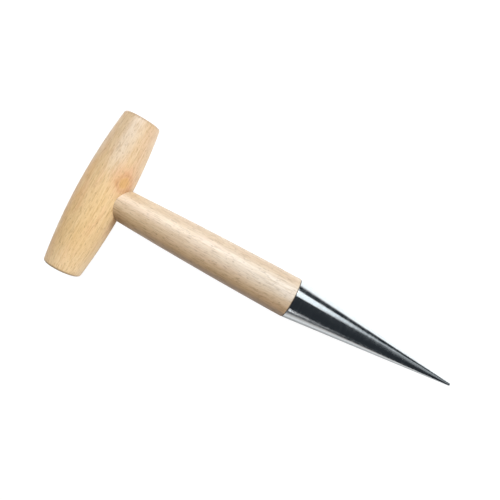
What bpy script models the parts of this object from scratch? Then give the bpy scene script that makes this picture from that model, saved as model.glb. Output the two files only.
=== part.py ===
"""Garden dibber lying on the ground: a turned cross grip, a tapered round shaft and a hollow steel point.

Metres, +Z up.  Every piece is modelled about the tool's own axes: the shaft runs along +X to the tip, the grip
lies along Y, and the two axes cross at the empty `lie`.  That empty lays the tool down, so that the grip's belly
and the rim of the shaft's lower end touch z = 0, and centres its bounding box over the world origin.
"""

import math

import bmesh
import bpy
from mathutils import Matrix, Vector

# Driving dimensions.  A station is a distance along the shaft from the grip's axis.
GRIP_LENGTH = 0.1194
GRIP_MID_RADIUS = 0.0177
GRIP_END_RADIUS = 0.0135
GRIP_EDGE_ROUND = 0.002

SHAFT_TOP_RADIUS = 0.0115
SHAFT_END_RADIUS = 0.0150
SHAFT_SWELL = 0.00075
SHAFT_END_ROUND = 0.0006
SHOULDER_STATION = 0.010
SHAFT_END_STATION = 0.1524

TENON_RADIUS = 0.008
TENON_END_STATION = -0.0072
TENON_CHAMFER = 0.001

POINT_MOUTH_RADIUS = 0.0148
POINT_MOUTH_ROUND = 0.0003
POINT_LENGTH = 0.1298
POINT_TIP_RADIUS = 0.00115
POINT_WALL = 0.0015
SOCKET_DEPTH = 0.075
SOCKET_END_RADIUS = 0.0048

PIN_RADIUS = 0.0015
PIN_CHAMFER = 0.0003
PIN_INSET = 0.0004
GRIP_PIN_LENGTH = 0.028
POINT_PIN_LENGTH = 0.020
POINT_PIN_FROM_MOUTH = 0.012

GAP = 0.0003
SEGMENTS = 64
PIN_SEGMENTS = 24
BARREL_STATIONS = 14
SHAFT_STATIONS = 10
ROUNDING_STEPS = 5

# Worked out from the driving dimensions.
POINT_MOUTH_STATION = SHAFT_END_STATION + GAP
POINT_TIP_STATION = POINT_MOUTH_STATION + POINT_LENGTH
POINT_PIN_STATION = POINT_MOUTH_STATION + POINT_PIN_FROM_MOUTH
SOCKET_MOUTH_RADIUS = POINT_MOUTH_RADIUS - POINT_WALL
SOCKET_END_STATION = POINT_MOUTH_STATION + SOCKET_DEPTH


def lie_angle():
    """The tilt about Y that rests the tool on the grip's belly and the rim of the shaft's lower end."""
    along = SHAFT_END_STATION - SHAFT_END_ROUND
    across = SHAFT_END_RADIUS - SHAFT_END_ROUND
    drop = GRIP_MID_RADIUS - SHAFT_END_ROUND
    return math.asin(drop / math.hypot(along, across)) - math.atan2(across, along)


def point_angle():
    """The cone's half angle: its side is tangent to the ball at the tip."""
    to_ball = POINT_LENGTH - POINT_TIP_RADIUS
    slant = math.hypot(POINT_MOUTH_RADIUS, to_ball)
    return math.atan2(POINT_MOUTH_RADIUS, to_ball) - math.asin(POINT_TIP_RADIUS / slant)


def barrel_radius(y):
    """The grip's radius at y: its side is one arc through the two ends and the middle."""
    half = GRIP_LENGTH / 2
    rise = GRIP_MID_RADIUS - GRIP_END_RADIUS
    arc = (half**2 + rise**2) / (2 * rise)
    return GRIP_MID_RADIUS - arc + math.sqrt(arc**2 - y**2)


def shaft_radius(station):
    """The shaft widens from its shoulder to its lower end, with a slight swell between them."""
    share = (station - SHOULDER_STATION) / (SHAFT_END_STATION - SHOULDER_STATION)
    straight = SHAFT_TOP_RADIUS + share * (SHAFT_END_RADIUS - SHAFT_TOP_RADIUS)
    return straight + SHAFT_SWELL * 4 * share * (1 - share)


def point_radius(station):
    """The steel cone narrows evenly from its mouth."""
    return POINT_MOUTH_RADIUS - (station - POINT_MOUTH_STATION) * math.tan(point_angle())


def rounded(corners):
    """An outline through (station, radius, fillet) corners, where each fillet is an arc."""
    outline = []
    for index, (station, radius, fillet) in enumerate(corners):
        corner = Vector((station, radius))
        if not fillet:
            outline.append(corner)
            continue
        back = (Vector(corners[index - 1][:2]) - corner).normalized()
        ahead = (Vector(corners[index + 1][:2]) - corner).normalized()
        half = back.angle(ahead) / 2
        centre = corner + (back + ahead).normalized() * fillet / math.sin(half)
        start = corner + back * fillet / math.tan(half) - centre
        end = corner + ahead * fillet / math.tan(half) - centre
        sweep = math.atan2(start.x * end.y - start.y * end.x, start.dot(end))
        for step in range(ROUNDING_STEPS + 1):
            turn = Matrix.Rotation(sweep * step / ROUNDING_STEPS, 2)
            outline.append(centre + turn @ start)
    return outline


def turned(name, outline, segments=SEGMENTS):
    """One solid spun about X from an outline that starts and ends on the axis."""
    bm = bmesh.new()
    verts = [bm.verts.new((station, 0, -radius)) for station, radius in outline]
    edges = [bm.edges.new(pair) for pair in zip(verts, verts[1:])]
    bmesh.ops.spin(
        bm,
        geom=verts + edges,
        cent=(0, 0, 0),
        axis=(1, 0, 0),
        angle=2 * math.pi,
        steps=segments,
    )
    bmesh.ops.remove_doubles(bm, verts=bm.verts, dist=0.000001)
    bmesh.ops.recalc_face_normals(bm, faces=bm.faces)
    mesh = bpy.data.meshes.new(name)
    bm.to_mesh(mesh)
    bm.free()
    mesh.shade_smooth()
    mesh.set_sharp_from_angle(angle=math.radians(30))
    piece = bpy.data.objects.new(name, mesh)
    bpy.context.scene.collection.objects.link(piece)
    return piece


def cut(piece, cutter):
    """Take the cutter's shape out of a piece, and keep the cutter as a hidden guide."""
    cutter.hide_render = True
    cutter.display_type = "WIRE"
    boolean = piece.modifiers.new(cutter.name, "BOOLEAN")
    boolean.operation = "DIFFERENCE"
    boolean.object = cutter


def paint(piece, colour, roughness, metallic=0.0):
    """Give a piece its own material."""
    material = bpy.data.materials.new(piece.name)
    material.use_nodes = True
    shader = material.node_tree.nodes["Principled BSDF"]
    shader.inputs["Base Color"].default_value = (*colour, 1.0)
    shader.inputs["Roughness"].default_value = roughness
    shader.inputs["Metallic"].default_value = metallic
    piece.data.materials.append(material)


def make_cross_grip():
    """The barrel, flat at both ends, built along X and turned to lie along Y."""
    half = GRIP_LENGTH / 2
    corners = [(-half, 0, 0)]
    for index in range(BARREL_STATIONS + 1):
        y = -half + GRIP_LENGTH * index / BARREL_STATIONS
        fillet = GRIP_EDGE_ROUND if index in (0, BARREL_STATIONS) else 0
        corners.append((y, barrel_radius(y), fillet))
    corners.append((half, 0, 0))
    grip = turned("cross_grip", rounded(corners))
    grip.rotation_euler.z = math.pi / 2
    return grip


def make_grip_bore():
    """The stepped blind bore: a seat for the shaft's full width, then the tenon's hole."""
    outside = GRIP_MID_RADIUS + 0.005
    seat = shaft_radius(GRIP_MID_RADIUS) + GAP
    return turned(
        "grip_bore",
        [
            (TENON_END_STATION - GAP, 0),
            (TENON_END_STATION - GAP, TENON_RADIUS + GAP),
            (SHOULDER_STATION - GAP, TENON_RADIUS + GAP),
            (SHOULDER_STATION - GAP, seat),
            (outside, seat),
            (outside, 0),
        ],
    )


def make_shaft():
    """Tenon, shoulder, swelled taper, lower shoulder and the spigot that fills the steel socket."""
    body_length = SHAFT_END_STATION - SHOULDER_STATION
    corners = [
        (TENON_END_STATION, 0, 0),
        (TENON_END_STATION, TENON_RADIUS - TENON_CHAMFER, 0),
        (TENON_END_STATION + TENON_CHAMFER, TENON_RADIUS, 0),
        (SHOULDER_STATION, TENON_RADIUS, 0),
    ]
    for index in range(SHAFT_STATIONS):
        station = SHOULDER_STATION + body_length * index / SHAFT_STATIONS
        corners.append((station, shaft_radius(station), 0))
    spigot_end = SOCKET_END_STATION - GAP
    corners += [
        (SHAFT_END_STATION, SHAFT_END_RADIUS, SHAFT_END_ROUND),
        (SHAFT_END_STATION, SOCKET_MOUTH_RADIUS - GAP, 0),
        (spigot_end, SOCKET_END_RADIUS - GAP, 0),
        (spigot_end, 0, 0),
    ]
    return turned("shaft", rounded(corners))


def make_steel_point():
    """The cone: ball tip, straight side, rounded mouth, and a tapered socket for the spigot."""
    angle = point_angle()
    ball = POINT_TIP_STATION - POINT_TIP_RADIUS
    outline = []
    for step in range(2 * ROUNDING_STEPS + 1):
        turn = (math.pi / 2 - angle) * step / (2 * ROUNDING_STEPS)
        outline.append((ball + POINT_TIP_RADIUS * math.cos(turn), POINT_TIP_RADIUS * math.sin(turn)))
    outline[0] = (POINT_TIP_STATION, 0)
    side_end = outline[-1]
    outline += rounded(
        [
            (*side_end, 0),
            (POINT_MOUTH_STATION, POINT_MOUTH_RADIUS, POINT_MOUTH_ROUND),
            (POINT_MOUTH_STATION, SOCKET_MOUTH_RADIUS, 0),
            (SOCKET_END_STATION, SOCKET_END_RADIUS, 0),
            (SOCKET_END_STATION, 0, 0),
        ]
    )[1:]
    return turned("steel_point", outline)


def make_pin(name, station, depth, length):
    """A pin driven up into the tool through its underside, `depth` below the axis, and the hole it sits in."""
    pin = turned(
        name,
        [
            (0, 0),
            (0, PIN_RADIUS - PIN_CHAMFER),
            (PIN_CHAMFER, PIN_RADIUS),
            (length - PIN_CHAMFER, PIN_RADIUS),
            (length, PIN_RADIUS - PIN_CHAMFER),
            (length, 0),
        ],
        PIN_SEGMENTS,
    )
    bottom, top = -depth, length + GAP
    hole = turned(
        name + "_hole",
        [(bottom, 0), (bottom, PIN_RADIUS + GAP), (top, PIN_RADIUS + GAP), (top, 0)],
        PIN_SEGMENTS,
    )
    for piece in (pin, hole):
        piece.location = (station, 0, PIN_INSET - depth)
        piece.rotation_euler.y = -math.pi / 2
    return pin, hole


def main():
    for old in list(bpy.data.objects):
        bpy.data.objects.remove(old)

    grip = make_cross_grip()
    shaft = make_shaft()
    point = make_steel_point()
    bore = make_grip_bore()
    grip_pin, grip_pin_hole = make_pin("grip_pin", 0, GRIP_MID_RADIUS, GRIP_PIN_LENGTH)
    point_pin, point_pin_hole = make_pin(
        "point_pin", POINT_PIN_STATION, point_radius(POINT_PIN_STATION), POINT_PIN_LENGTH
    )
    for cutter in (bore, grip_pin_hole):
        cut(grip, cutter)
    for cutter in (grip_pin_hole, point_pin_hole):
        cut(shaft, cutter)
    cut(point, point_pin_hole)

    paint(grip, (0.79, 0.56, 0.33), 0.42)
    paint(shaft, (0.84, 0.71, 0.56), 0.45)
    paint(point, (0.62, 0.64, 0.66), 0.12, metallic=1.0)
    for pin in (grip_pin, point_pin):
        paint(pin, (0.55, 0.55, 0.56), 0.3, metallic=1.0)

    lie = bpy.data.objects.new("lie", None)
    bpy.context.scene.collection.objects.link(lie)
    tilt = lie_angle()
    tip_reach = (POINT_TIP_STATION - POINT_TIP_RADIUS) * math.cos(tilt) + POINT_TIP_RADIUS
    lie.location = ((GRIP_MID_RADIUS - tip_reach) / 2, 0, GRIP_MID_RADIUS)
    lie.rotation_euler.y = tilt
    for piece in (grip, shaft, point, bore, grip_pin, grip_pin_hole, point_pin, point_pin_hole):
        piece.parent = lie


main()
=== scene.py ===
"""The garden dibber's looks: turned, lacquered wood and a polished steel point on a pale table.

Metres, +Z up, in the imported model's frame.  Each piece is built about the tool's own axes (the shaft along
+X to the tip, the grip along Y, the two crossing at the origin).  One matrix then lays it down, as the CAD
pieces are laid.
"""

import math

import bmesh
import bpy
from mathutils import Matrix, Vector, noise


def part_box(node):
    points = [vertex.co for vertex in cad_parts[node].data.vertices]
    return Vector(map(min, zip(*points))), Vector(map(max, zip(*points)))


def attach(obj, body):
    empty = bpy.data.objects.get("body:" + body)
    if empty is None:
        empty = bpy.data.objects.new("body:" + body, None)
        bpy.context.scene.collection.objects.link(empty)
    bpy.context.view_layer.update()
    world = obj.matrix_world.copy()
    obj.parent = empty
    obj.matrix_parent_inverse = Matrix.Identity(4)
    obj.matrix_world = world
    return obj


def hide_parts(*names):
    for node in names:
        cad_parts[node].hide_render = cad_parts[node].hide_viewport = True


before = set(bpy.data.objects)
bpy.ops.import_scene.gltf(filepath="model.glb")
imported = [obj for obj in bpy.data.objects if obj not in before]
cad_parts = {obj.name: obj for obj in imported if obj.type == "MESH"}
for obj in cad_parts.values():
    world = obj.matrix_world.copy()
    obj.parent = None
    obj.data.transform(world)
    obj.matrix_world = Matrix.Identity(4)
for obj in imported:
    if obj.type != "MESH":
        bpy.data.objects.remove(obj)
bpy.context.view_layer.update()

# The tool's dimensions, as the CAD has them.  A station is a distance along the shaft from the grip's axis.
# A pin hole comes from below the tool, and its reach is how far it goes past the shaft's axis.  GAP is the
# clearance between the CAD's pieces.
GRIP_LENGTH = 0.1194
GRIP_MID_RADIUS = 0.0177
GRIP_END_RADIUS = 0.0135
GRIP_EDGE_ROUND = 0.002
SHAFT_TOP_RADIUS = 0.0115
SHAFT_END_RADIUS = 0.0150
SHAFT_SWELL = 0.00075
SHAFT_END_ROUND = 0.0006
SHOULDER_STATION = 0.010
SHAFT_END_STATION = 0.1524
TENON_RADIUS = 0.008
TENON_END_STATION = -0.0072
TENON_END_ROUND = 0.0008
POINT_MOUTH_RADIUS = 0.0148
POINT_MOUTH_ROUND = 0.0003
POINT_INNER_ROUND = 0.0002
POINT_LENGTH = 0.1298
POINT_TIP_RADIUS = 0.00115
POINT_WALL = 0.0015
SOCKET_DEPTH = 0.075
SOCKET_END_RADIUS = 0.0048
PIN_HOLE_RADIUS = 0.00165
GRIP_PIN_REACH = 0.011
POINT_PIN_REACH = 0.0068
POINT_PIN_INSET = 0.012
GAP = 0.0003

POINT_MOUTH_STATION = SHAFT_END_STATION + GAP
POINT_TIP_STATION = POINT_MOUTH_STATION + POINT_LENGTH
POINT_PIN_STATION = POINT_MOUTH_STATION + POINT_PIN_INSET

# How finely the visible surfaces are made, how snugly these finer pieces fit, and how far cutters run past.
SEGMENTS = 192
HOLE_SEGMENTS = 48
GRIP_STATIONS = 60
SHAFT_STATIONS = 24
ROUNDING_STEPS = 8
LONGEST_STEP = 0.002
ON_AXIS = 0.000001
SHARP_ANGLE = math.radians(35)
SNUG = 0.00006
CUTTER_OVERRUN = 0.005
PIN_HOLE_START = -0.025

# How deep sanding and polishing have dipped each surface, and how closely the dips follow each other.
WAVES_PER_METRE = 60
WAVES_ACROSS = 1.3
GRIP_WAVINESS = 0.00006
SHAFT_WAVINESS = 0.00005
STEEL_WAVINESS = 0.00002

# The small orange knot by the joint: its middle, and how far it spreads each way.
KNOT = (0.0132, 0.0144, 0.0113)
KNOT_SPREAD = (0.0054, 0.0062, 0.0060)

# The studio.  TABLE_BURN is how far the camera sees the table burnt out to white.
CAMERA_OVER = (-0.0220, 0.0157)
CAMERA_HEIGHT = 0.371
CAMERA_TURN = math.radians(28.8)
STUDIO_RADIUS = 2.0
TABLE_HALF_WIDTH = 3.0
TABLE_BURN = 0.85
DAYLIGHT = (0.95, 1.0, 1.03)


def lie_matrix():
    """Lays the tool on the grip's belly and the shaft's lower rim, where the CAD has it."""
    along = SHAFT_END_STATION - SHAFT_END_ROUND
    across = SHAFT_END_RADIUS - SHAFT_END_ROUND
    drop = GRIP_MID_RADIUS - SHAFT_END_ROUND
    tilt = math.asin(drop / math.hypot(along, across)) - math.atan2(across, along)
    grip_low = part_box("cross_grip")[0]
    place = Vector((grip_low.x + GRIP_MID_RADIUS, 0, GRIP_MID_RADIUS))
    return Matrix.Translation(place) @ Matrix.Rotation(tilt, 4, "Y")


LIE = lie_matrix()


# ---------------------------------------------------------------- shapes


def barrel_radius(y):
    """The grip's radius at y: its side is one arc through the two ends and the middle."""
    half = GRIP_LENGTH / 2
    rise = GRIP_MID_RADIUS - GRIP_END_RADIUS
    arc = (half**2 + rise**2) / (2 * rise)
    return GRIP_MID_RADIUS - arc + math.sqrt(arc**2 - y**2)


def shaft_radius(station):
    """The shaft widens from its shoulder to its lower end, with a slight swell between them."""
    share = (station - SHOULDER_STATION) / (SHAFT_END_STATION - SHOULDER_STATION)
    straight = SHAFT_TOP_RADIUS + share * (SHAFT_END_RADIUS - SHAFT_TOP_RADIUS)
    return straight + SHAFT_SWELL * 4 * share * (1 - share)


def rounded(corners):
    """An outline through (station, radius, fillet) corners, where each fillet is an arc."""
    outline = []
    for index, (station, radius, fillet) in enumerate(corners):
        corner = Vector((station, radius))
        if not fillet:
            outline.append(corner)
            continue
        back = (Vector(corners[index - 1][:2]) - corner).normalized()
        ahead = (Vector(corners[index + 1][:2]) - corner).normalized()
        half = back.angle(ahead) / 2
        centre = corner + (back + ahead).normalized() * fillet / math.sin(half)
        start = corner + back * fillet / math.tan(half) - centre
        end = corner + ahead * fillet / math.tan(half) - centre
        sweep = math.atan2(start.x * end.y - start.y * end.x, start.dot(end))
        for step in range(ROUNDING_STEPS + 1):
            outline.append(centre + Matrix.Rotation(sweep * step / ROUNDING_STEPS, 2) @ start)
    return outline


def refined(outline):
    """The same outline with no two points further apart than LONGEST_STEP."""
    points = [Vector(outline[0])]
    for point in map(Vector, outline[1:]):
        last = points[-1]
        parts = max(1, math.ceil((point - last).length / LONGEST_STEP))
        points += [last.lerp(point, part / parts) for part in range(1, parts + 1)]
    return points


def turned(name, outline, waviness=0.0, segments=SEGMENTS):
    """One solid spun about X, from an outline of (station, radius) points that starts and ends on it."""
    bm = bmesh.new()
    seed = Vector((len(name), 0, 0))
    rings = []
    for station, radius in outline:
        centre = Vector((station, 0, 0))
        if radius < ON_AXIS:
            rings.append([bm.verts.new(centre)])
            continue
        ring = []
        for index in range(segments):
            angle = 2 * math.pi * index / segments
            across = Vector((0, math.sin(angle), math.cos(angle)))
            dip = noise.noise(centre * WAVES_PER_METRE + across * WAVES_ACROSS + seed)
            depth = waviness * (0.5 + 0.5 * dip) * min(1, radius / POINT_MOUTH_RADIUS)
            ring.append(bm.verts.new(centre + across * (radius - depth)))
        rings.append(ring)
    for near, far in zip(rings, rings[1:]):
        for index in range(segments):
            after = (index + 1) % segments
            corners = [near[index % len(near)], near[after % len(near)]]
            corners += [far[after % len(far)], far[index % len(far)]]
            bm.faces.new(dict.fromkeys(corners))
    if bm.calc_volume(signed=True) < 0:
        bmesh.ops.reverse_faces(bm, faces=bm.faces)
    mesh = bpy.data.meshes.new(name)
    bm.to_mesh(mesh)
    bm.free()
    mesh.shade_smooth()
    mesh.set_sharp_from_angle(angle=SHARP_ANGLE)
    piece = bpy.data.objects.new(name, mesh)
    bpy.context.scene.collection.objects.link(piece)
    return piece


def cut(piece, cutter):
    """Takes the cutter's shape out of the piece for good, and removes the cutter."""
    boolean = piece.modifiers.new("cut", "BOOLEAN")
    boolean.operation = "DIFFERENCE"
    boolean.object = cutter
    depsgraph = bpy.context.evaluated_depsgraph_get()
    made = bpy.data.meshes.new_from_object(piece.evaluated_get(depsgraph))
    piece.modifiers.clear()
    piece.data = made
    bpy.data.objects.remove(cutter)


def pin_hole(station, reach):
    """A cutter for a hole driven up from below the tool at a station."""
    outline = [
        (PIN_HOLE_START, 0),
        (PIN_HOLE_START, PIN_HOLE_RADIUS),
        (reach, PIN_HOLE_RADIUS),
        (reach, 0),
    ]
    hole = turned("hole", outline, segments=HOLE_SEGMENTS)
    hole.rotation_euler.y = -math.pi / 2
    hole.location.x = station
    return hole


def make_grip():
    """The cross grip: a barrel with soft-edged flat ends and a stepped bore that holds the shaft."""
    half = GRIP_LENGTH / 2
    corners = [(-half, 0, 0)]
    for index in range(GRIP_STATIONS + 1):
        y = -half + GRIP_LENGTH * index / GRIP_STATIONS
        at_end = index in (0, GRIP_STATIONS)
        if not at_end and half - abs(y) < GRIP_EDGE_ROUND:
            continue
        corners.append((y, barrel_radius(y), GRIP_EDGE_ROUND if at_end else 0))
    corners.append((half, 0, 0))
    grip = turned("cross_grip_wood", refined(rounded(corners)), GRIP_WAVINESS)
    grip.data.transform(Matrix.Rotation(math.pi / 2, 4, "Z"))
    outside = GRIP_MID_RADIUS + CUTTER_OVERRUN
    seat = shaft_radius(GRIP_MID_RADIUS) - SNUG / 2
    bore = [
        (TENON_END_STATION - SNUG, 0),
        (TENON_END_STATION - SNUG, TENON_RADIUS + SNUG),
        (SHOULDER_STATION - SNUG, TENON_RADIUS + SNUG),
        (SHOULDER_STATION - SNUG, shaft_radius(SHOULDER_STATION) - SNUG / 2),
        (outside, seat),
        (outside, 0),
    ]
    cut(grip, pin_hole(0, GRIP_PIN_REACH))
    cut(grip, turned("bore", bore))
    return grip


def make_shaft():
    """The shaft: tenon, shoulder, swelled taper, softened lower rim, and the spigot in the steel."""
    body_length = SHAFT_END_STATION - SHOULDER_STATION
    corners = [
        (TENON_END_STATION, 0, 0),
        (TENON_END_STATION, TENON_RADIUS, TENON_END_ROUND),
        (SHOULDER_STATION, TENON_RADIUS, 0),
    ]
    for index in range(SHAFT_STATIONS):
        station = SHOULDER_STATION + body_length * index / SHAFT_STATIONS
        corners.append((station, shaft_radius(station), 0))
    spigot_end = POINT_MOUTH_STATION + SOCKET_DEPTH - GAP
    corners += [
        (SHAFT_END_STATION, SHAFT_END_RADIUS, SHAFT_END_ROUND),
        (SHAFT_END_STATION, POINT_MOUTH_RADIUS - POINT_WALL - SNUG, 0),
        (spigot_end, SOCKET_END_RADIUS - SNUG, 0),
        (spigot_end, 0, 0),
    ]
    shaft = turned("shaft_wood", refined(rounded(corners)), SHAFT_WAVINESS)
    cut(shaft, pin_hole(0, GRIP_PIN_REACH))
    cut(shaft, pin_hole(POINT_PIN_STATION, POINT_PIN_REACH))
    return shaft


def make_point():
    """The steel cone: ball tip, straight side tangent to it, softened mouth and tapered socket."""
    to_ball = POINT_LENGTH - POINT_TIP_RADIUS
    slant = math.hypot(POINT_MOUTH_RADIUS, to_ball)
    half_angle = math.atan2(POINT_MOUTH_RADIUS, to_ball) - math.asin(POINT_TIP_RADIUS / slant)
    ball = POINT_TIP_STATION - POINT_TIP_RADIUS
    steps = 2 * ROUNDING_STEPS
    tip = []
    for step in range(steps + 1):
        turn = (math.pi / 2 - half_angle) * step / steps
        tip.append((ball + POINT_TIP_RADIUS * math.cos(turn), POINT_TIP_RADIUS * math.sin(turn)))
    body = rounded(
        [
            (*tip[-1], 0),
            (POINT_MOUTH_STATION, POINT_MOUTH_RADIUS, POINT_MOUTH_ROUND),
            (POINT_MOUTH_STATION, POINT_MOUTH_RADIUS - POINT_WALL, POINT_INNER_ROUND),
            (POINT_MOUTH_STATION + SOCKET_DEPTH, SOCKET_END_RADIUS, 0),
            (POINT_MOUTH_STATION + SOCKET_DEPTH, 0, 0),
        ]
    )
    point = turned("steel_point_shell", tip[:-1] + refined(body), STEEL_WAVINESS)
    cut(point, pin_hole(POINT_PIN_STATION, 0))
    return point


# ---------------------------------------------------------------- materials


class Graph:
    """One material's nodes.  An input that is a socket is linked, and a plain value is set on the node."""

    def __init__(self, name):
        self.material = bpy.data.materials.new(name)
        self.material.use_nodes = True
        self.tree = self.material.node_tree
        self.shader = self.tree.nodes["Principled BSDF"]

    def feed(self, socket, value):
        if isinstance(value, bpy.types.NodeSocket):
            self.tree.links.new(value, socket)
        else:
            socket.default_value = value

    def node(self, kind, inputs=(), **settings):
        node = self.tree.nodes.new("ShaderNode" + kind)
        for key, value in settings.items():
            setattr(node, key, value)
        for key, value in dict(inputs).items():
            self.feed(node.inputs[key], value)
        return node

    def place(self):
        """Where a point lies in the tool's own frame, before the tool is laid down."""
        inputs = {"Vector": self.node("TexCoord").outputs["Object"]}
        inputs.update(Location=LIE.to_translation(), Rotation=LIE.to_euler())
        return self.node("Mapping", inputs, vector_type="TEXTURE").outputs[0]

    def split(self, vector):
        return self.node("SeparateXYZ", {0: vector}).outputs

    def join(self, x, y, z):
        return self.node("CombineXYZ", {0: x, 1: y, 2: z}).outputs[0]

    def math(self, operation, a, b=0.0):
        return self.node("Math", {0: a, 1: b}, operation=operation).outputs[0]

    def vector(self, operation, a, b=(0, 0, 0)):
        node = self.node("VectorMath", {0: a, 1: b}, operation=operation)
        return node.outputs["Value" if operation in ("LENGTH", "DISTANCE") else "Vector"]

    def noise(self, place, stretch, detail, roughness=0.5):
        """Noise whose features are about 1/stretch metres along each axis."""
        stretched = self.vector("MULTIPLY", place, stretch)
        inputs = {"Vector": stretched, "Scale": 1.0, "Detail": detail, "Roughness": roughness}
        return self.node("TexNoise", inputs).outputs["Fac"]

    def ramp(self, value, low, high, to_low=0.0, to_high=1.0):
        """A smooth step from to_low to to_high as value goes from low to high."""
        inputs = {"Value": value, "From Min": low, "From Max": high}
        inputs.update({"To Min": to_low, "To Max": to_high})
        return self.node("MapRange", inputs, interpolation_type="SMOOTHSTEP").outputs[0]

    def mix(self, share, a, b, blend="MIX"):
        node = self.node("Mix", data_type="RGBA", blend_type=blend)
        self.feed(node.inputs[0], share)
        self.feed(node.inputs[6], a)
        self.feed(node.inputs[7], b)
        return node.outputs[2]

    def bump(self, height, distance, strength, under=None):
        inputs = {"Height": height, "Distance": distance, "Strength": strength}
        if under:
            inputs["Normal"] = under
        return self.node("Bump", inputs).outputs[0]

    def finish(self, **inputs):
        for name, value in inputs.items():
            self.feed(self.shader.inputs[name.replace("_", " ")], value)
        return self.material


def rgb(red, green, blue):
    return (red, green, blue, 1.0)


def swayed(graph, place):
    """`place` with Y swayed a little along the fibres, so that no streak runs dead straight."""
    drift = graph.noise(place, (14, 30, 30), detail=2)
    sway = graph.math("MULTIPLY", graph.math("SUBTRACT", drift, 0.5), 0.006)
    x, y, z = graph.split(place)
    return graph.join(x, graph.math("ADD", y, sway), z)


def wood_body(graph, place, pith, tones):
    """Pale, deep and rosy parts and faint growth layers, in wood whose fibres run along X of `place`."""
    pale, deep, rosy = tones
    _, y, z = graph.split(place)
    from_pith = graph.vector("DISTANCE", graph.join(0.0, y, z), (0.0, *pith))
    layers = graph.math("FRACT", graph.math("DIVIDE", from_pith, 0.0031))
    late = graph.math("MULTIPLY", graph.ramp(layers, 0.25, 0.85), graph.ramp(layers, 1.0, 0.90))
    broad = graph.noise(place, (16, 90, 90), detail=3, roughness=0.6)
    cast = graph.noise(graph.vector("ADD", place, (0.7, 0.2, 0.1)), (38, 130, 130), detail=2)
    tone = graph.mix(graph.ramp(broad, 0.36, 0.66, 0.10, 0.55), pale, deep)
    tone = graph.mix(graph.ramp(cast, 0.45, 0.75, 0.0, 0.6), tone, rosy)
    return graph.mix(graph.math("MULTIPLY", late, 0.14), tone, deep)


def fine_grain(graph, place, tone, streak_tint, pore_tint):
    """Darkens a tone by streaks, fibres, pores and specks along X of `place`, and gives their relief too."""
    streaks = graph.noise(place, (50, 1150, 1150), detail=3, roughness=0.65)
    fibres = graph.noise(place, (150, 1500, 1500), detail=3, roughness=0.6)
    pores = graph.ramp(graph.noise(place, (210, 1250, 1250), detail=1), 0.56, 0.68)
    specks = graph.ramp(graph.noise(place, (520, 900, 900), detail=0), 0.74, 0.80)
    for share, tint in (
        (graph.ramp(streaks, 0.40, 0.68, 0.0, 0.95), streak_tint),
        (graph.ramp(fibres, 0.55, 0.30, 0.0, 0.24), pore_tint),
        (graph.math("MULTIPLY", pores, 0.38), pore_tint),
        (graph.math("MULTIPLY", specks, 0.45), pore_tint),
    ):
        tone = graph.mix(share, tone, tint, blend="MULTIPLY")
    relief = graph.math("SUBTRACT", graph.math("MULTIPLY", fibres, 0.5), pores)
    return tone, relief


def lacquered(graph, tone, relief):
    """The satin lacquer that both woods carry: it fills the pores nearly flat."""
    return graph.finish(
        Base_Color=tone,
        Roughness=graph.ramp(relief, -0.8, 0.4, 0.56, 0.42),
        Normal=graph.bump(relief, 0.00005, 0.7),
        Specular_IOR_Level=0.2,
        Coat_Weight=0.9,
        Coat_IOR=1.7,
        Coat_Roughness=0.38,
    )


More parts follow.
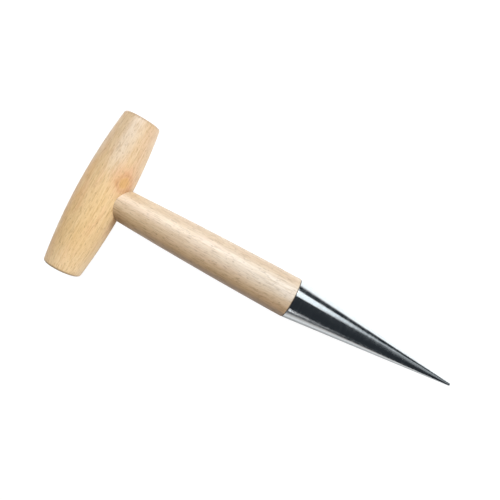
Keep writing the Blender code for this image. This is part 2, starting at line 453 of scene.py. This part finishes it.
def grip_wood():
    """Golden hardwood, orange knot by the joint; its pale arm and blushed back are partly painted light and
    shade.
    """
    graph = Graph("grip_wood_lacquered")
    place = graph.place()
    x, y, z = graph.split(place)
    along = swayed(graph, graph.join(y, graph.math("MULTIPLY", x, -1.0), z))
    # Pale towards the +Y arm: partly the wood's own tone, partly painted highlight.
    paler_and_lit = graph.ramp(y, -0.010, 0.050)
    tones = (
        graph.mix(paler_and_lit, rgb(0.85, 0.61, 0.33), rgb(0.75, 0.57, 0.37)),
        graph.mix(paler_and_lit, rgb(0.75, 0.50, 0.23), rgb(0.67, 0.46, 0.27)),
        graph.mix(paler_and_lit, rgb(0.85, 0.54, 0.31), rgb(0.75, 0.52, 0.35)),
    )
    pith = (0.030, -0.052)
    tone = wood_body(graph, along, pith, tones)

    # Painted light at the lower end, the blushed back, and a painted highlight along the pale arm.
    tone = graph.mix(graph.ramp(y, -0.034, -0.056, 0.0, 0.6), tone, rgb(0.92, 0.70, 0.44))
    # The blushed back is partly a tint in the wood, partly painted shade on the side away from the lights.
    blush_and_shade = graph.ramp(graph.noise(along, (60, 110, 110), detail=2), 0.36, 0.60, 0.1, 0.75)
    blush_and_shade = graph.math("MULTIPLY", blush_and_shade, graph.ramp(x, -0.005, -0.014))
    tone = graph.mix(blush_and_shade, tone, rgb(0.72, 0.42, 0.16))
    # Painted highlight: the lacquer's reflection of the window, laid on as a cream streak.
    off_highlight = graph.math("ABSOLUTE", graph.math("SUBTRACT", x, 0.002))
    painted_highlight = graph.ramp(off_highlight, 0.0080, 0.0015, 0.0, 0.45)
    painted_highlight = graph.math("MULTIPLY", painted_highlight, graph.ramp(y, 0.008, 0.036))
    tone = graph.mix(painted_highlight, tone, rgb(0.76, 0.65, 0.54))

    # The knot: a warm halo, an orange heart and a thin dark rim between them.
    ragged = graph.noise(place, (230, 150, 230), detail=3)
    from_knot = graph.vector("SUBTRACT", place, KNOT)
    from_knot = graph.vector("DIVIDE", from_knot, KNOT_SPREAD)
    away = graph.math("ADD", graph.vector("LENGTH", from_knot), ragged)
    outer_side = graph.ramp(away, 1.90, 1.45, 0.0, 0.4)
    rim = graph.math("MULTIPLY", graph.ramp(away, 1.15, 1.45), outer_side)
    tone = graph.mix(graph.ramp(away, 3.2, 1.2, 0.0, 0.5), tone, rgb(0.76, 0.42, 0.24))
    tone = graph.mix(graph.ramp(away, 1.45, 0.95, 0.0, 0.75), tone, rgb(0.70, 0.40, 0.13))
    tone = graph.mix(rim, tone, rgb(0.60, 0.27, 0.10))

    # Painted shade in the corner by the shaft, and the darker end grain at both ends.
    from_corner = graph.vector("DISTANCE", place, (0.0160, -0.0140, 0.0))
    painted_joint_shade = graph.ramp(from_corner, 0.0090, 0.0030, 0.0, 0.65)
    tone = graph.mix(painted_joint_shade, tone, rgb(0.34, 0.18, 0.07))
    # Partly the end grain's darker tone, partly painted shade where the rounded ends turn away from the
    # lights.
    to_end = graph.math("SUBTRACT", GRIP_LENGTH / 2, graph.math("ABSOLUTE", y))
    tone = graph.mix(graph.ramp(to_end, 0.0024, 0.0004, 0.0, 0.62), tone, rgb(0.38, 0.23, 0.12))
    tone, relief = fine_grain(graph, along, tone, rgb(0.91, 0.85, 0.75), rgb(0.56, 0.45, 0.31))
    return lacquered(graph, tone, relief)


def shaft_wood():
    """Cream-coloured sapwood above, heartwood below, golden by the grip, with painted shade and a painted
    highlight.
    """
    graph = Graph("shaft_wood_lacquered")
    place = graph.place()
    x, y, z = graph.split(place)
    along = swayed(graph, place)
    pith = (-0.040, -0.046)
    from_pith = graph.vector("DISTANCE", graph.join(0.0, y, z), (0.0, *pith))
    sapwood = graph.ramp(from_pith, 0.0635, 0.0740)
    tones = (
        graph.mix(sapwood, rgb(0.70, 0.48, 0.27), rgb(0.74, 0.60, 0.45)),
        graph.mix(sapwood, rgb(0.62, 0.41, 0.21), rgb(0.67, 0.52, 0.37)),
        graph.mix(sapwood, rgb(0.70, 0.46, 0.27), rgb(0.75, 0.58, 0.45)),
    )
    tone = wood_body(graph, along, pith, tones)
    # Painted shade: the lower edge, turned away from the lights, darkened to a deep tone, more towards the
    # steel.
    lower_edge = graph.ramp(from_pith, 0.0648, 0.0600)
    painted_edge_shade = graph.math("MULTIPLY", lower_edge, graph.ramp(x, 0.02, 0.15, 0.50, 0.80))
    tone = graph.mix(painted_edge_shade, tone, rgb(0.38, 0.21, 0.09))
    # Painted shade along the far upper edge.
    tone = graph.mix(graph.ramp(y, 0.0075, 0.0130, 0.0, 0.35), tone, rgb(0.56, 0.38, 0.22))
    tone = graph.mix(graph.ramp(x, 0.0600, 0.0180, 0.0, 0.35), tone, rgb(0.66, 0.48, 0.27))

    # A painted highlight: a cream streak towards the steel.
    off_highlight = graph.math("ABSOLUTE", graph.math("SUBTRACT", y, 0.004))
    painted_highlight = graph.ramp(off_highlight, 0.0085, 0.0020, 0.0, 0.5)
    painted_highlight = graph.math("MULTIPLY", painted_highlight, graph.ramp(x, 0.060, 0.150))
    tone = graph.mix(painted_highlight, tone, rgb(0.77, 0.71, 0.64))

    # Painted shade in the corner by the grip, and the thin dark line where the wood meets the steel.
    corner = graph.math("MULTIPLY", graph.ramp(x, 0.0300, 0.0185), graph.ramp(y, -0.003, -0.0100))
    tone = graph.mix(graph.math("MULTIPLY", corner, 0.5), tone, rgb(0.28, 0.15, 0.07))
    # Painted shadow of the gap under the wood's overhanging end.
    to_steel = graph.math("SUBTRACT", SHAFT_END_STATION, x)
    tone = graph.mix(graph.ramp(to_steel, 0.0004, 0.0), tone, rgb(0.10, 0.05, 0.03))
    tone, relief = fine_grain(graph, along, tone, rgb(0.88, 0.83, 0.76), rgb(0.45, 0.37, 0.30))
    return lacquered(graph, tone, relief)


def polished_steel():
    """Stainless steel polished on a lathe: fine rings, a faint waviness and a few dull streaks."""
    graph = Graph("polished_steel")
    place = graph.place()
    x, y, z = graph.split(place)
    around = graph.vector("NORMALIZE", graph.join(0.0, y, z))
    around = graph.vector("MULTIPLY", around, (0, 0.01, 0.01))
    scaled = graph.vector("ADD", around, graph.join(x, 0.0, 0.0))
    rings = graph.noise(scaled, (1500, 70, 70), detail=3)
    ripple = graph.noise(scaled, (320, 150, 150), detail=2)
    dull = graph.noise(scaled, (800, 110, 110), detail=2)
    normal = graph.bump(rings, 0.000005, 0.7, graph.bump(ripple, 0.00005, 0.7))
    tone = graph.mix(graph.ramp(dull, 0.3, 0.7), rgb(0.80, 0.84, 0.865), rgb(0.89, 0.92, 0.935))
    tangent = graph.node("Tangent", direction_type="RADIAL", axis="X").outputs[0]
    return graph.finish(
        Base_Color=tone,
        Metallic=1.0,
        Roughness=graph.ramp(dull, 0.35, 0.75, 0.13, 0.24),
        Anisotropic=0.5,
        Anisotropic_Rotation=0.25,
        Tangent=tangent,
        Normal=normal,
    )


def pin_steel():
    """Plain wire steel, filed flat."""
    graph = Graph("pin_steel_filed")
    place = graph.place()
    filed = graph.noise(place, (400, 4000, 900), detail=2)
    return graph.finish(
        Base_Color=graph.mix(filed, rgb(0.34, 0.34, 0.34), rgb(0.52, 0.52, 0.51)),
        Metallic=1.0,
        Roughness=graph.ramp(filed, 0.3, 0.7, 0.28, 0.42),
        Normal=graph.bump(filed, 0.00001, 0.6),
    )


def table_top():
    """The pale table, which the camera sees nearly burnt out to white.

    The steel mirrors its painted light and shade: palest behind the tool, darker near and far, grey by the
    steel.
    """
    graph = Graph("pale_table")
    place = graph.place()
    x, y, _ = graph.split(place)
    pale = rgb(0.97, 0.97, 0.97)
    near_side = rgb(0.49, 0.465, 0.445)
    far_off = rgb(0.30, 0.30, 0.30)
    grey = rgb(0.50, 0.50, 0.50)
    # Painted light and shade: a pool of light, palest behind the tool, darkening on the near side and far
    # off.
    shade = graph.mix(graph.ramp(y, -0.16, 0.04), near_side, pale)
    shade = graph.mix(graph.ramp(y, 0.07, 0.25), shade, far_off)
    # A painted shadow in a grey band beside the steel.
    painted_steel_shadow = graph.math("MULTIPLY", graph.ramp(x, 0.125, 0.160), graph.ramp(y, -0.052, -0.036))
    painted_steel_shadow = graph.math("MULTIPLY", painted_steel_shadow, graph.ramp(y, 0.004, -0.012))
    shade = graph.mix(painted_steel_shadow, shade, grey)
    speckle = graph.math("MULTIPLY", graph.noise(place, (300, 300, 300), detail=2), 0.04)
    material = graph.finish(
        Base_Color=graph.mix(speckle, shade, grey),
        Roughness=0.7,
        Specular_IOR_Level=0.2,
    )
    white = graph.node("Emission", {"Color": rgb(1.0, 1.0, 1.0), "Strength": 1.15})
    seen = graph.node("LightPath").outputs["Is Camera Ray"]
    burnt = graph.node("MixShader", {0: graph.math("MULTIPLY", seen, TABLE_BURN)})
    graph.feed(burnt.inputs[1], graph.shader.outputs[0])
    graph.feed(burnt.inputs[2], white.outputs[0])
    graph.feed(graph.tree.nodes["Material Output"].inputs["Surface"], burnt.outputs[0])
    return material


# ---------------------------------------------------------------- stage


def lay_out_pieces():
    """Puts each finer piece in its CAD node's place, and finishes the CAD's own pins."""
    for piece, node, slot, material in (
        (make_grip(), "cross_grip", "grip_wood", grip_wood()),
        (make_shaft(), "shaft", "shaft_wood", shaft_wood()),
        (make_point(), "steel_point", "polished_steel", polished_steel()),
    ):
        piece.data.transform(LIE)
        piece.data.materials.clear()
        piece.data.materials.append(material)
        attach(piece, "root")
        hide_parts(node)
    steel = pin_steel()
    for node in ("grip_pin", "point_pin"):
        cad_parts[node].material_slots[0].material = steel


def make_table():
    bm = bmesh.new()
    bmesh.ops.create_grid(bm, x_segments=8, y_segments=8, size=TABLE_HALF_WIDTH)
    mesh = bpy.data.meshes.new("table")
    bm.to_mesh(mesh)
    bm.free()
    table = bpy.data.objects.new("table", mesh)
    bpy.context.scene.collection.objects.link(table)
    mesh.materials.append(table_top())


def softbox(name, azimuth, elevation, wide, high, brightness, reflected=True, tint=(1.0, 1.0, 1.0)):
    """A soft, even light that faces the tool and fills wide x high degrees of its sky.

    Azimuth is from +X towards +Y, and brightness is the radiance of its face.  The camera doesn't see it,
    and the steel and the lacquer mirror it only where it is `reflected`.
    """
    width = 2 * STUDIO_RADIUS * math.tan(math.radians(wide / 2))
    height = 2 * STUDIO_RADIUS * math.tan(math.radians(high / 2))
    light = bpy.data.lights.new(name, "AREA")
    light.shape = "RECTANGLE"
    light.size = width
    light.size_y = height
    light.energy = math.pi * width * height * brightness
    light.color = tint
    lamp = bpy.data.objects.new(name, light)
    turn = math.radians(azimuth)
    rise = math.radians(elevation)
    level = math.cos(rise)
    back = Vector((math.cos(turn) * level, math.sin(turn) * level, math.sin(rise)))
    lamp.location = back * STUDIO_RADIUS
    lamp.rotation_euler = back.to_track_quat("Z", "Y").to_euler()
    lamp.visible_camera = False
    lamp.visible_glossy = reflected
    bpy.context.scene.collection.objects.link(lamp)


def light_studio():
    """Soft panels round the tool, in a dim room with a white backdrop.

    The first six light the wood and make the stripes along the steel.  The other three only light the wood.
    """
    softbox("window", 90, 46, 54, 33, 1.13, tint=DAYLIGHT)
    softbox("sheen", 106, 36, 32, 30, 3.7, tint=DAYLIGHT)
    softbox("strip_tail", 44, 35, 18, 15, 0.33, tint=DAYLIGHT)
    softbox("near_wall", 250, 16, 88, 30, 0.13)
    softbox("near_edge", 289, 25, 2.5, 18, 1.7)
    softbox("tip_glow", 12, 46, 30, 8, 0.36, tint=DAYLIGHT)
    softbox("key", 112, 62, 44, 40, 3.1, reflected=False)
    softbox("end_fill", 0, 22, 70, 36, 2.9, reflected=False)
    softbox("back_fill", 180, 62, 60, 44, 0.55, reflected=False)
    world = bpy.data.worlds.new("room")
    bpy.context.scene.world = world
    world.use_nodes = True
    nodes, links = world.node_tree.nodes, world.node_tree.links
    room = nodes["Background"]
    room.inputs["Color"].default_value = rgb(0.022, 0.026, 0.031)
    backdrop = nodes.new("ShaderNodeBackground")
    backdrop.inputs["Color"].default_value = rgb(0.98, 0.98, 0.98)
    seen = nodes.new("ShaderNodeLightPath")
    choose = nodes.new("ShaderNodeMixShader")
    links.new(seen.outputs["Is Camera Ray"], choose.inputs[0])
    links.new(room.outputs[0], choose.inputs[1])
    links.new(backdrop.outputs[0], choose.inputs[2])
    links.new(choose.outputs[0], nodes["World Output"].inputs["Surface"])
    bpy.context.scene.view_settings.view_transform = "Standard"


def make_camera():
    """Straight down from arm's length, turned so that the shaft runs to the lower right."""
    data = bpy.data.cameras.new("camera")
    data.sensor_width = 36
    data.lens = 36
    camera = bpy.data.objects.new("camera", data)
    camera.location = (*CAMERA_OVER, CAMERA_HEIGHT)
    camera.rotation_euler = (0, 0, CAMERA_TURN)
    bpy.context.scene.collection.objects.link(camera)
    bpy.context.scene.camera = camera


make_camera()
lay_out_pieces()
make_table()
light_studio()
